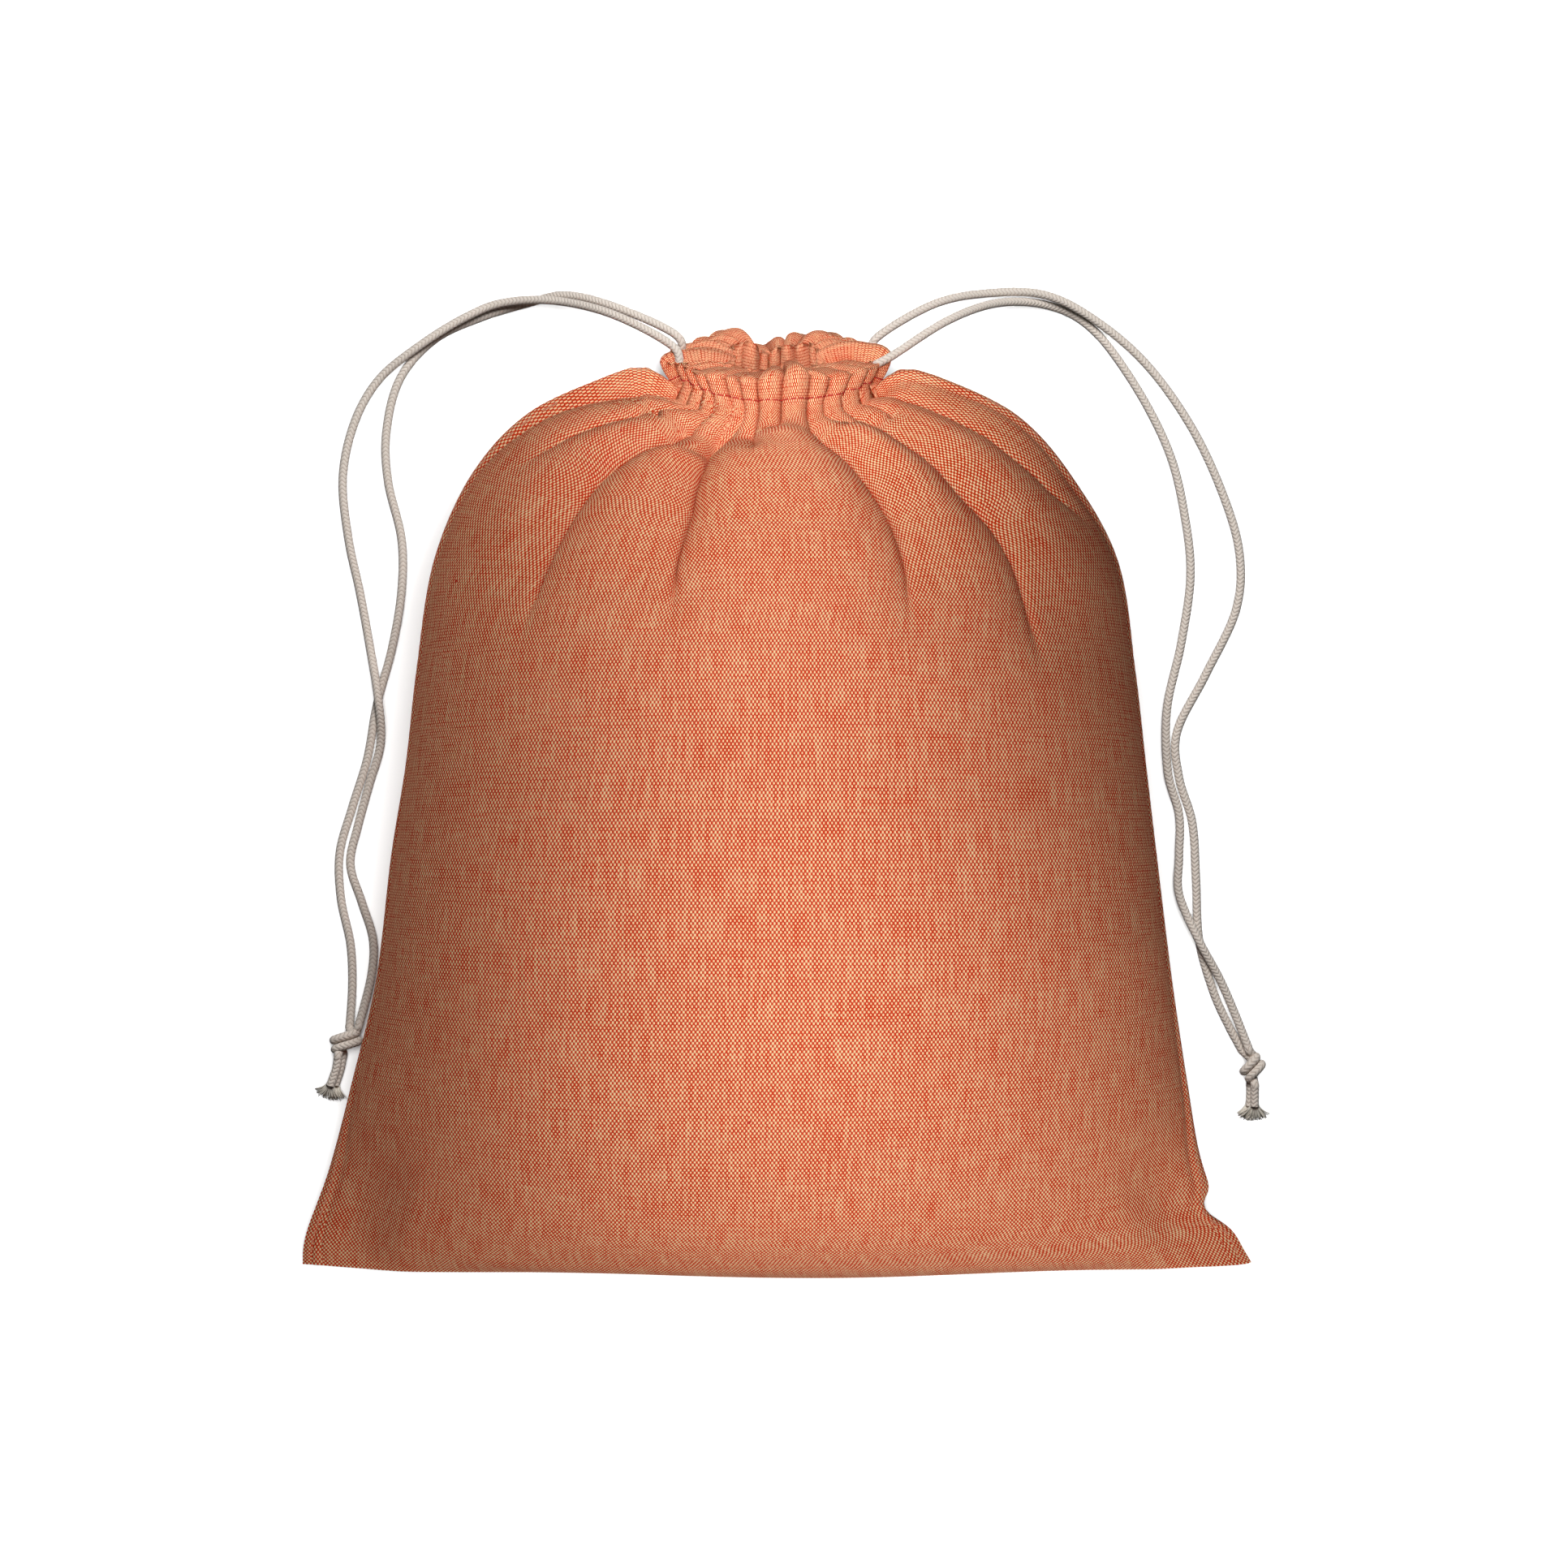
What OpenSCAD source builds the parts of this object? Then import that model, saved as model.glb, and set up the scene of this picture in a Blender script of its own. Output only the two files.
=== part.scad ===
// Cotton drawstring treat pouch, lying full on its back.
// X runs across the pouch, Y runs towards its gathered neck and Z is up from the surface.
// All sizes are in millimetres.

/* [Cloth] */
// Thickness of one layer of the woven cloth
cloth = 0.8; // [0.5:0.1:1.2]
// Width of the overlocked allowance inside each side seam
allowance = 7; // [4:0.5:9]
// Distance of the side stitching from the edge, as a share of a panel's width
stitch_inset = 0.06; // [0.05:0.01:0.12]

/* [Neck] */
// Half the width of the gathered rim
rim_half_w = 30.5; // [29:0.5:32]
// Half the height of the gathered rim
rim_half_h = 22; // [20:0.5:23]
// Half the width of the neck at the hem stitching
waist_half_w = 26.3; // [25:0.1:27]
// Half the height of the neck at the hem stitching
waist_half_h = 18; // [17:0.5:19]
// Lean of the rim from upright, in degrees
neck_lean = 16.5; // [12:0.5:18]
// Depth of the hem channel, from its rim to its stitching
channel_depth = 9.5; // [9:0.5:11]
// How far the gathered cloth reaches in from the outside of the neck
gather_depth = 9; // [8.5:0.5:10]
// Angle from the side seam to the end of each channel, in degrees
slit_angle = 18; // [16:1:24]

/* [Drawcords] */
// Diameter of the braided cord
cord_d = 2.2; // [1.6:0.1:2.2]
// Diameter of each knot
knot_d = 5; // [4:0.1:5.2]
// Diameter of the sewing thread
thread_d = 0.6; // [0.4:0.1:0.8]

/* [Hidden] */
$fn = 24;
panel_columns = 28;
rows_per_station = 3;
cord_sides = 8;
rings_per_point = 2;

rim_centre = [0.5, 118.3, 28];
rim_up = [0, -sin(neck_lean), cos(neck_lean)];
rim_out = [0, cos(neck_lean), sin(neck_lean)];
// The panels stop just short of the channels, so that the front one can slide.
panel_end = channel_depth + 0.6;
// Least half gap between the two panels.
panel_gap = 0.25;

// A point of the neck at an angle round it, some way in from its outside and down from its rim.
function neck_point(angle, in, down) =
  let (
    flare = 1 - pow(down / channel_depth, 2),
    half_w = waist_half_w + (rim_half_w - waist_half_w) * flare - in,
    half_h = waist_half_h + (rim_half_h - waist_half_h) * flare - in
  )
  rim_centre + [half_w * cos(angle), 0, 0] + half_h * sin(angle) * rim_up - down * rim_out;

// The side seams, from the bottom corners up to the neck.
left_seam = [
  [-124.5, -122, 3], [-123.5, -113.5, 4], [-117, -96, 9], [-111, -74.5, 14],
  [-103.5, -46, 22], [-99, -13.5, 30], [-95, 10, 34], [-92, 35, 36],
  [-87.5, 63, 37], [-77.5, 86, 36], [-64, 101, 33], [-44, 109.5, 30],
  neck_point(180, 0, panel_end)
];
right_seam = [
  [124.5, -122, 3], [120.5, -113.5, 4], [113, -96, 9], [108.5, -74.5, 14],
  [103.5, -46, 22], [99, -13.5, 30], [96, 10, 34], [93, 35, 36],
  [88.5, 63, 37], [76, 86, 36], [62.5, 101, 33], [43.5, 109.5, 30],
  neck_point(0, 0, panel_end)
];
// The crown of the front and of the back, as Y and Z at the same stations as the seams.
// The back's own line runs below zero where the pouch is pressed flat against the surface.
front_crown = [
  [-124, 12], [-121, 26], [-108, 45], [-80, 67], [-48, 81], [-14, 88.5], [12, 90],
  [38, 88], [62, 80], [79, 70], [90, 61], [97.5, 52],
  [neck_point(90, 0, panel_end).y, neck_point(90, 0, panel_end).z]
];
back_crown = [
  [-124, 12], [-121.5, 3], [-108, -3], [-79, -6], [-47, -7], [-13, -7], [12, -7],
  [38, -7], [63, -6], [84, -3], [98, 0], [107, 4],
  [neck_point(270, 0, panel_end).y, neck_point(270, 0, panel_end).z]
];
stations = len(left_seam) - 1;

// The free strands, from the slit at the neck to the knot.
left_front_route = [
  [-24.6, 113.6, 30.4], [-26.5, 119, 30.2], [-42, 127.5, 24.5], [-57.5, 132, 12.5],
  [-71.5, 132, 5.5], [-82, 128, 4.2], [-94, 120.5, 3.9], [-104.5, 112, 1.5], [-111, 100.5, 1.2],
  [-114, 86, 1.2], [-112.5, 70, 1.2], [-109.5, 56, 1.2], [-107, 42.5, 1.6], [-104.5, 28, 4],
  [-104, 16, 1.4], [-107, 5, 1.2], [-110, -6, 1.2], [-112, -16, 1.2], [-109, -26, 1.2],
  [-106, -36, 1.4], [-106.5, -46, 2.2], [-109.8, -59.2, 3.8]
];
left_back_route = [
  [-24.4, 116.6, 24.4], [-25.5, 122, 26.8], [-41, 129.5, 21.5], [-54.5, 133.5, 12],
  [-65, 132, 4.2], [-77.5, 128.5, 1.2], [-90, 122.5, 1.2], [-99, 112, 1.2], [-102.5, 98, 1.2],
  [-102, 85, 1.2], [-98.5, 70, 1.2], [-98.5, 56, 1.2], [-101, 41, 1.2], [-105, 26, 1.2],
  [-107.5, 12, 1.2], [-111.5, -1, 1.2], [-114.8, -13, 1.2], [-114.5, -25, 1.2],
  [-112, -37, 1.2], [-111.5, -48, 1.2], [-112.2, -59.2, 1.6]
];
right_front_route = [
  [25.6, 113.6, 30.4], [31, 116.5, 30.6], [45.5, 126, 24.5], [59.5, 131.5, 12.5],
  [74, 131, 3.4], [85, 124.5, 1.2], [96, 109.5, 1.2], [104.5, 92.5, 1.2], [108.5, 76, 1.2],
  [110, 60, 1.2], [107.5, 42, 1.2], [103.8, 25, 1.2], [104, 8.5, 1.2], [107, -3, 1.2],
  [107, -14, 1.2], [107, -24, 1.6], [112, -36, 4], [117.5, -46, 2.6],
  [121.5, -55, 2.2], [125.4, -65.2, 3.8]
];
right_back_route = [
  [25.4, 116.6, 24.4], [27, 121.5, 26.8], [42, 130.5, 21.5], [56.5, 134, 12.5],
  [71, 134, 7.2], [84, 128, 4], [98, 116.5, 1.4], [110, 100, 1.2], [118.5, 82, 1.2],
  [123, 66, 1.2], [122, 51, 1.2], [114, 34, 1.2], [106.5, 19, 1.2], [107, 7, 1.2],
  [110.5, -5, 1.2], [111.5, -20, 1.2], [112.3, -36, 1.2], [116, -49.5, 1.2],
  [120, -58.5, 1.2], [123.6, -65.2, 1.4]
];

// Smooth curve through a list of points, with t counted in points from the first.
function spline(points, t) =
  let (
    last = len(points) - 1,
    i = min(floor(t), last - 1),
    f = t - i,
    a = points[max(i - 1, 0)],
    b = points[i],
    c = points[i + 1],
    d = points[min(i + 2, last)]
  )
  b + f / 2 * (c - a + f * (2 * a - 5 * b + 4 * c - d + f * (3 * (b - c) + d - a)));

function unit(v) = v / norm(v);

// How far a cross-section has risen from its seams: 0 at a seam and 1 at the crown.
// The bottom corners are pinched flat and the rest of the pouch is round.
function rise(s, station) =
  pow(1 - pow(abs(s), 2.2), max(0.55, 1.2 - 0.14 * station));

// A point on the outside of a panel. side is 1 for the front and -1 for the back.
function panel_skin(side, across, station) =
  let (
    s = -cos(180 * across),
    left = spline(left_seam, station),
    right = spline(right_seam, station),
    seam = (left + right + s * (right - left)) / 2,
    crown = spline(side > 0 ? front_crown : back_crown, station),
    r = rise(s, station),
    z = seam.z + r * (crown[1] - seam.z) + side * (panel_gap + cloth * (1 - r))
  )
  [seam.x, seam.y + r * (crown[0] - seam.y), max(0, z)];

// Direction straight out of a panel.
function panel_normal(side, across, station) =
  let (
    step = 0.01,
    a0 = max(across - step, 0),
    a1 = min(across + step, 1),
    s0 = max(station - step, 0),
    s1 = min(station + step, stations),
    along_u = panel_skin(side, a1, station) - panel_skin(side, a0, station),
    along_v = panel_skin(side, across, s1) - panel_skin(side, across, s0)
  )
  side * unit(cross(along_u, along_v));

// A point some way under a panel's outer face, or over it where depth is negative.
function panel_point(side, across, station, depth) =
  panel_skin(side, across, station) - depth * panel_normal(side, across, station);

function triangles(quads) =
  [for (q = quads) each [[q[0], q[1], q[2]], [q[0], q[2], q[3]]]];

function reversed(list) = [for (i = [len(list) - 1:-1:0]) list[i]];

// One panel of cloth: an outer and an inner grid of points, closed round the edge.
module panel(side) {
  columns = panel_columns;
  rows = stations * rows_per_station;
  inner = (columns + 1) * (rows + 1);
  function at(i, j) = j * (columns + 1) + i;
  function rim(a, b) = [a, b, b + inner, a + inner];
  points = [
    for (depth = [0, cloth], j = [0:rows], i = [0:columns])
      panel_point(side, i / columns, j / rows_per_station, depth)
  ];
  quads = [
    for (j = [0:rows - 1], i = [0:columns - 1])
      let (q = [at(i, j), at(i, j + 1), at(i + 1, j + 1), at(i + 1, j)])
        each [q, reversed([for (k = q) k + inner])],
    for (i = [0:columns - 1]) each [rim(at(i, 0), at(i + 1, 0)), rim(at(i + 1, rows), at(i, rows))],
    for (j = [0:rows - 1]) each [rim(at(0, j + 1), at(0, j)), rim(at(columns, j), at(columns, j + 1))]
  ];
  faces = triangles(quads);
  polyhedron(points, side > 0 ? faces : [for (f = faces) reversed(f)], 10);
}

// Faces between rings of points that follow one another.
function skin_quads(count, sides, first = 0) = [
  for (k = [0:count - 2], i = [0:sides - 1])
    let (a = first + k * sides, b = a + sides, n = (i + 1) % sides)
      [a + i, b + i, b + n, a + n]
];

// A closed solid swept through rings of points.
module sweep(rings) {
  sides = len(rings[0]);
  last = (len(rings) - 1) * sides;
  start_cap = [for (i = [0:sides - 1]) i];
  end_cap = [for (i = [sides - 1:-1:0]) last + i];
  polyhedron(
    [for (ring = rings) each ring],
    concat(triangles(skin_quads(len(rings), sides)), [start_cap, end_cap]),
    10
  );
}

// A ring of points round a cord at one place on its route.
function cord_ring(here, heading) =
  let (
    side = unit(cross([0, 0, 1], heading)),
    up = cross(heading, side)
  )
  [
    for (i = [0:cord_sides - 1])
      let (a = 360 * (i + 0.5) / cord_sides)
        here + cord_d / 2 * (cos(a) * side + sin(a) * up)
  ];

// A cord along a smooth route.
module cord(route) {
  steps = (len(route) - 1) * rings_per_point;
  sweep([
    for (k = [0:steps])
      let (
        t = k / rings_per_point,
        before = spline(route, max(t - 0.05, 0)),
        after = spline(route, min(t + 0.05, len(route) - 1))
      )
      cord_ring(spline(route, t), unit(after - before))
  ]);
}

// A straight stitch from one point to another.
module stitch(a, b) {
  v = b - a;
  translate(a)
    rotate([0, acos(v.z / norm(v)), atan2(v.y, v.x)])
      cylinder(h = norm(v), d = thread_d);
}

// The overlocked allowance inside a side seam. inward is 1 on the left and -1 on the right.
module seam_allowance(seam, inward) {
  half = 0.5;
  function corner(p, in, up) = p + [inward * in, 0, up];
  function ring(p) = [
    corner(p, allowance, -half), corner(p, cloth / 2, -half),
    corner(p, cloth / 2, half), corner(p, allowance, half)
  ];
  sweep([
    for (k = [10:38])
      let (r = ring(spline(seam, k / 4)))
        inward > 0 ? r : reversed(r)
  ]);
}

// The row of stitches that holds a side seam, seen on the front beside the edge.
module seam_stitches(across) {
  step = 10 / 66;
  for (k = [8:66]) {
    t = k * step;
    stitch(
      panel_point(1, across, t, -thread_d),
      panel_point(1, across, t + step * 0.62, -thread_d)
    );
  }
}

// The section of a channel's wall, with its corners cut off.
function band_section(inset, corner) =
  let (
    near = inset,
    far = gather_depth - inset,
    low = channel_depth - inset
  )
  [
    [near + corner, inset], [far - corner, inset], [far, inset + corner], [far, low - corner],
    [far - corner, low], [near + corner, low], [near, low - corner], [near, inset + corner]
  ];

// A gathered hem channel round half of the neck, with a tunnel for the two cords.
module channel(from, to) {
  outside = band_section(0, 2);
  tunnel = band_section(2, 0.6);
  sides = len(outside);
  steps = 20;
  rings = [
    for (section = [outside, tunnel], k = [0:steps])
      [for (p = section) neck_point(from + (to - from) * k / steps, p[0], p[1])]
  ];
  inner = (steps + 1) * sides;
  last = steps * sides;
  ends = [
    for (i = [0:sides - 1])
      let (n = (i + 1) % sides)
        each [
          [i, n, n + inner, i + inner],
          [last + n, last + i, last + i + inner, last + n + inner]
        ]
  ];
  lining = [for (q = skin_quads(steps + 1, sides, inner)) reversed(q)];
  polyhedron(
    [for (ring = rings) each ring],
    triangles(concat(skin_quads(steps + 1, sides), lining, ends)),
    10
  );
}

// The stretch of a cord that runs hidden inside a channel.
module channel_run(from, to, down) {
  count = 14;
  cord([for (k = [0:count]) neck_point(from + (to - from) * k / count, gather_depth / 2, down)]);
}

// The stitching that closes a channel.
module hem_stitches(from, to) {
  count = 22;
  step = (to - from) / count;
  for (k = [0:count - 1]) {
    a = from + k * step;
    stitch(
      neck_point(a, -thread_d, channel_depth - 1.2),
      neck_point(a + 0.62 * step, -thread_d, channel_depth - 1.2)
    );
  }
}

// A tight overhand knot, as a short rounded barrel lying along X.
module knot(centre, turn, length) {
  straight = length - knot_d;
  translate(centre)
    rotate([0, 90, turn])
      rotate_extrude()
        intersection() {
          translate([0, -length])
            square([length, 2 * length]);
          union() {
            square([knot_d, straight], center = true);
            for (end = [-1, 1])
              translate([0, end * straight / 2])
                circle(d = knot_d);
          }
        }
}

front_from = slit_angle;
front_to = 180 - slit_angle;
back_from = 180 + slit_angle;
back_to = 360 - slit_angle;
// The left cord runs nearer the rim than the right one.
left_run_down = 3.4;
right_run_down = 6.1;

module front_panel() color("coral") panel(1);
module back_panel() color("indianred") panel(-1);
module left_side_seam() color("firebrick") seam_allowance(left_seam, 1);
module right_side_seam() color("firebrick") seam_allowance(right_seam, -1);
module left_seam_stitches() color("darkred") seam_stitches(stitch_inset);
module right_seam_stitches() color("darkred") seam_stitches(1 - stitch_inset);
module front_channel() color("salmon") channel(front_from, front_to);
module back_channel() color("tomato") channel(back_from, back_to);
module front_hem_stitches() color("maroon") hem_stitches(front_from + 3, front_to - 3);
module back_hem_stitches() color("maroon") hem_stitches(back_from + 3, back_to - 3);

module left_cord_front_run() color("wheat") channel_run(front_from, front_to, left_run_down);
module left_cord_back_run() color("wheat") channel_run(back_from, back_to, left_run_down);
module left_cord_front_strand() color("beige") cord(left_front_route);
module left_cord_back_strand() color("linen") cord(left_back_route);
module left_cord_knot() color("tan") knot([-113, -62.5, 3.1], 10, 8.7);
module left_cord_front_tail() color("beige") cord([[-115, -66, 4], [-115.6, -70, 3.6], [-117.2, -74.5, 3.4]]);
module left_cord_back_tail() color("linen") cord([[-113.8, -66, 1.5], [-114.6, -70, 1.2], [-116, -74.5, 1.1]]);

module right_cord_front_run() color("wheat") channel_run(front_from, front_to, right_run_down);
module right_cord_back_run() color("wheat") channel_run(back_from, back_to, right_run_down);
module right_cord_front_strand() color("beige") cord(right_front_route);
module right_cord_back_strand() color("linen") cord(right_back_route);
module right_cord_knot() color("tan") knot([126, -69.6, 3.1], 62, 7.6);
module right_cord_front_tail() color("beige") cord([[126.8, -74, 4], [126.8, -77, 3.6], [126.8, -80, 3.4]]);
module right_cord_back_tail() color("linen") cord([[125.8, -74, 1.5], [125.8, -77, 1.2], [125.6, -80, 1.1]]);

front_panel();
back_panel();
left_side_seam();
right_side_seam();
left_seam_stitches();
right_seam_stitches();
front_channel();
back_channel();
front_hem_stitches();
back_hem_stitches();
left_cord_front_run();
left_cord_back_run();
left_cord_front_strand();
left_cord_back_strand();
left_cord_knot();
left_cord_front_tail();
left_cord_back_tail();
right_cord_front_run();
right_cord_back_run();
right_cord_front_strand();
right_cord_back_strand();
right_cord_knot();
right_cord_front_tail();
right_cord_back_tail();
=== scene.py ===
import math

import bpy
import numpy as np
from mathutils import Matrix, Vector


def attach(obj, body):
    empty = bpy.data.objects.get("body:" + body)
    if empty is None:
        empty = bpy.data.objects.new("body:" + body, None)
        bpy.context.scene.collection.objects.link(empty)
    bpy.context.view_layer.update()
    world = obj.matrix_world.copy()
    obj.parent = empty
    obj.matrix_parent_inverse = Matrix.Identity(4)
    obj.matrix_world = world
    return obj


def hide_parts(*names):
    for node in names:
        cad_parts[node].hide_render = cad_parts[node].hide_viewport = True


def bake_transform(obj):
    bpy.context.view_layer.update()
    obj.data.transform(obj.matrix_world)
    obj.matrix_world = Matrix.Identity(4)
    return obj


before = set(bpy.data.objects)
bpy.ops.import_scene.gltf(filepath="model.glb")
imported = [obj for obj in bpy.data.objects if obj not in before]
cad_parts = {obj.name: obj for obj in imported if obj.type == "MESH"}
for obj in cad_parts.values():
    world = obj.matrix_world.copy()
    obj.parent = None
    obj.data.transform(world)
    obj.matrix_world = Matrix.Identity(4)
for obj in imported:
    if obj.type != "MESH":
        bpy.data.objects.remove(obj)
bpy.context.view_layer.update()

# All lengths below are in metres. MM turns a size in millimetres into metres.
MM = 0.001
rng = np.random.default_rng(7)

CORD_DIAMETER = 2.2 * MM
THREAD_DIAMETER = 0.45 * MM
# Length of cord in which one strand of the braid passes under the next.
BRAID_PITCH = 1.1 * MM
# Length of sewing thread in which its plies turn once round each other.
THREAD_TWIST = 0.6 * MM
# Distance from one warp thread to the next, and from one weft thread to the next.
WARP_PITCH = 0.51 * MM
WEFT_PITCH = 0.74 * MM

# The free strands, from the slit at the neck to the knot.
STRANDS = {
    ("left", "front"): MM * np.array([
        (-24.6, 113.6, 30.4), (-26.5, 119, 30.2), (-42, 127.5, 24.5), (-57.5, 132, 12.5),
        (-71.5, 132, 5.5), (-82, 128, 4.2), (-94, 120.5, 3.9), (-104.5, 112, 1.5),
        (-111, 100.5, 1.2), (-114, 86, 1.2), (-112.5, 70, 1.2), (-109.5, 56, 1.2),
        (-107, 42.5, 1.6), (-104.5, 28, 4), (-104, 16, 1.4), (-107, 5, 1.2), (-110, -6, 1.2),
        (-112, -16, 1.2), (-109, -26, 1.2), (-106, -36, 1.4), (-106.5, -46, 2.2),
        (-109.8, -59.2, 3.8),
    ]),
    ("left", "back"): MM * np.array([
        (-24.4, 116.6, 24.4), (-25.5, 122, 26.8), (-41, 129.5, 21.5), (-54.5, 133.5, 12),
        (-65, 132, 4.2), (-77.5, 128.5, 1.2), (-90, 122.5, 1.2), (-99, 112, 1.2), (-102.5, 98, 1.2),
        (-102, 85, 1.2), (-98.5, 70, 1.2), (-98.5, 56, 1.2), (-101, 41, 1.2), (-105, 26, 1.2),
        (-107.5, 12, 1.2), (-111.5, -1, 1.2), (-114.8, -13, 1.2), (-114.5, -25, 1.2),
        (-112, -37, 1.2), (-111.5, -48, 1.2), (-112.2, -59.2, 1.6),
    ]),
    ("right", "front"): MM * np.array([
        (25.6, 113.6, 30.4), (31, 116.5, 30.6), (45.5, 126, 24.5), (59.5, 131.5, 12.5),
        (74, 131, 3.4), (85, 124.5, 1.2), (96, 109.5, 1.2), (104.5, 92.5, 1.2), (108.5, 76, 1.2),
        (110, 60, 1.2), (107.5, 42, 1.2), (103.8, 25, 1.2), (104, 8.5, 1.2), (107, -3, 1.2),
        (107, -14, 1.2), (107, -24, 1.6), (112, -36, 4), (117.5, -46, 2.6), (121.5, -55, 2.2),
        (125.4, -65.2, 3.8),
    ]),
    ("right", "back"): MM * np.array([
        (25.4, 116.6, 24.4), (27, 121.5, 26.8), (42, 130.5, 21.5), (56.5, 134, 12.5),
        (71, 134, 7.2), (84, 128, 4), (98, 116.5, 1.4), (110, 100, 1.2), (118.5, 82, 1.2),
        (123, 66, 1.2), (122, 51, 1.2), (114, 34, 1.2), (106.5, 19, 1.2), (107, 7, 1.2),
        (110.5, -5, 1.2), (111.5, -20, 1.2), (112.3, -36, 1.2), (116, -49.5, 1.2),
        (120, -58.5, 1.2), (123.6, -65.2, 1.4),
    ]),
}
# The cut ends that stick out of the knots.
TAILS = {
    ("left", "front"): MM * np.array([(-115, -66, 4), (-115.6, -70, 3.6), (-117.2, -74.5, 3.4)]),
    ("left", "back"): MM * np.array([(-113.8, -66, 1.5), (-114.6, -70, 1.2), (-116, -74.5, 1.1)]),
    ("right", "front"): MM * np.array([(126.8, -74, 4), (126.8, -77, 3.6), (126.8, -80, 3.4)]),
    ("right", "back"): MM * np.array([(125.8, -74, 1.5), (125.8, -77, 1.2), (125.6, -80, 1.1)]),
}
# Each knot's centre, the lean of its wraps in degrees, and half their length, in millimetres.
KNOTS = {
    "left": ((-113, -62.5, 3.1), 10, 3.25),
    "right": ((126.3, -69.7, 3.1), 36, 2.5),
}


# ---------------------------------------------------------------- shared helpers

def spline(points, t):
    """Smooth curve through a list of points, with t counted in points from the first."""
    last = len(points) - 1
    i = np.minimum(np.floor(t).astype(int), last - 1)
    f = (t - i)[..., None]
    a = points[np.maximum(i - 1, 0)]
    b = points[i]
    c = points[i + 1]
    d = points[np.minimum(i + 2, last)]
    return b + f / 2 * (c - a + f * (2 * a - 5 * b + 4 * c - d + f * (3 * (b - c) + d - a)))


def evenly_spaced(points, spacing):
    """Points an equal distance apart along the smooth curve through the given ones."""
    dense = spline(points, np.linspace(0, len(points) - 1, 40 * len(points)))
    reach = np.concatenate([[0], np.cumsum(np.linalg.norm(np.diff(dense, axis=0), axis=1))])
    wanted = np.linspace(0, reach[-1], max(2, round(reach[-1] / spacing) + 1))
    return np.stack([np.interp(wanted, reach, dense[:, k]) for k in range(3)], axis=1)


def new_mesh(name, verts, faces, uvs=None, materials=()):
    """A smooth-shaded mesh object. uvs is one pair for each corner of each face."""
    mesh = bpy.data.meshes.new(name)
    mesh.from_pydata(np.asarray(verts).tolist(), [], faces)
    if uvs is not None:
        layer = mesh.uv_layers.new(name="UVMap")
        layer.data.foreach_set("uv", np.asarray(uvs, np.float32).ravel())
    for material in materials:
        mesh.materials.append(material)
    mesh.shade_smooth()
    mesh.update()
    obj = bpy.data.objects.new(name, mesh)
    bpy.context.scene.collection.objects.link(obj)
    return obj


def rotation_frames(path):
    """Two directions square to a path at each of its points, carried along without twist."""
    tangent = np.gradient(path, axis=0)
    tangent /= np.linalg.norm(tangent, axis=1)[:, None]
    side = np.zeros_like(path)
    side[0] = np.cross(tangent[0], (0.1, 0.2, 1))
    for k in range(len(path)):
        before = side[max(k - 1, 0)]
        side[k] = before - tangent[k] * before.dot(tangent[k])
        side[k] /= np.linalg.norm(side[k])
    return side, np.cross(tangent, side)


def tube(path, radius, sides, relief=None):
    """The points, faces and UVs of a round tube along a path.

    radius is one number or one for each point of the path, and relief(turn, along) is how far the
    surface stands proud of it. The UVs are turns round the tube and metres along it."""
    side, up = rotation_frames(path)
    step = np.linalg.norm(np.diff(path, axis=0), axis=1)
    along = np.concatenate([[0], np.cumsum(step)])
    turn = np.arange(sides) / sides
    radii = np.broadcast_to(radius, (len(path),))[:, None] + np.zeros((1, sides))
    if relief is not None:
        radii = radii + relief(turn[None, :], along[:, None])
    angle = 2 * math.pi * turn
    ring = np.cos(angle)[None, :, None] * side[:, None] + np.sin(angle)[None, :, None] * up[:, None]
    verts = (path[:, None] + radii[..., None] * ring).reshape(-1, 3)
    faces = []
    uvs = []
    for k in range(len(path) - 1):
        near, far = along[k], along[k + 1]
        for i in range(sides):
            n = (i + 1) % sides
            faces.append((k * sides + i, k * sides + n, (k + 1) * sides + n, (k + 1) * sides + i))
            uvs += [(i / sides, near), ((i + 1) / sides, near), ((i + 1) / sides, far), (i / sides, far)]
    last = (len(path) - 1) * sides
    faces.append(tuple(range(sides - 1, -1, -1)))
    faces.append(tuple(last + i for i in range(sides)))
    uvs += [(0.5, 0)] * sides + [(0.5, along[-1])] * sides
    return verts, faces, uvs


def tube_piece(name, tubes, material):
    """One piece made of one or more tubes."""
    verts = np.concatenate([tube_verts for tube_verts, _, _ in tubes])
    faces = []
    uvs = []
    start = 0
    for tube_verts, tube_faces, tube_uvs in tubes:
        faces += [tuple(start + i for i in face) for face in tube_faces]
        uvs += tube_uvs
        start += len(tube_verts)
    return new_mesh(name, verts, faces, uvs, [material])


# ---------------------------------------------------------------- materials

def new_material(name, roughness):
    """A new material, with its node tree and its shader."""
    material = bpy.data.materials.new(name)
    material.use_nodes = True
    tree = material.node_tree
    shader = tree.nodes["Principled BSDF"]
    shader.inputs["Roughness"].default_value = roughness
    return material, tree, shader


def math_node(tree, operation, *values):
    """A Math node. Each value is a number or another node's output."""
    node = tree.nodes.new("ShaderNodeMath")
    node.operation = operation
    for socket, value in zip(node.inputs, values):
        if isinstance(value, (int, float)):
            socket.default_value = value
        else:
            tree.links.new(value, socket)
    return node.outputs[0]


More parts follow.
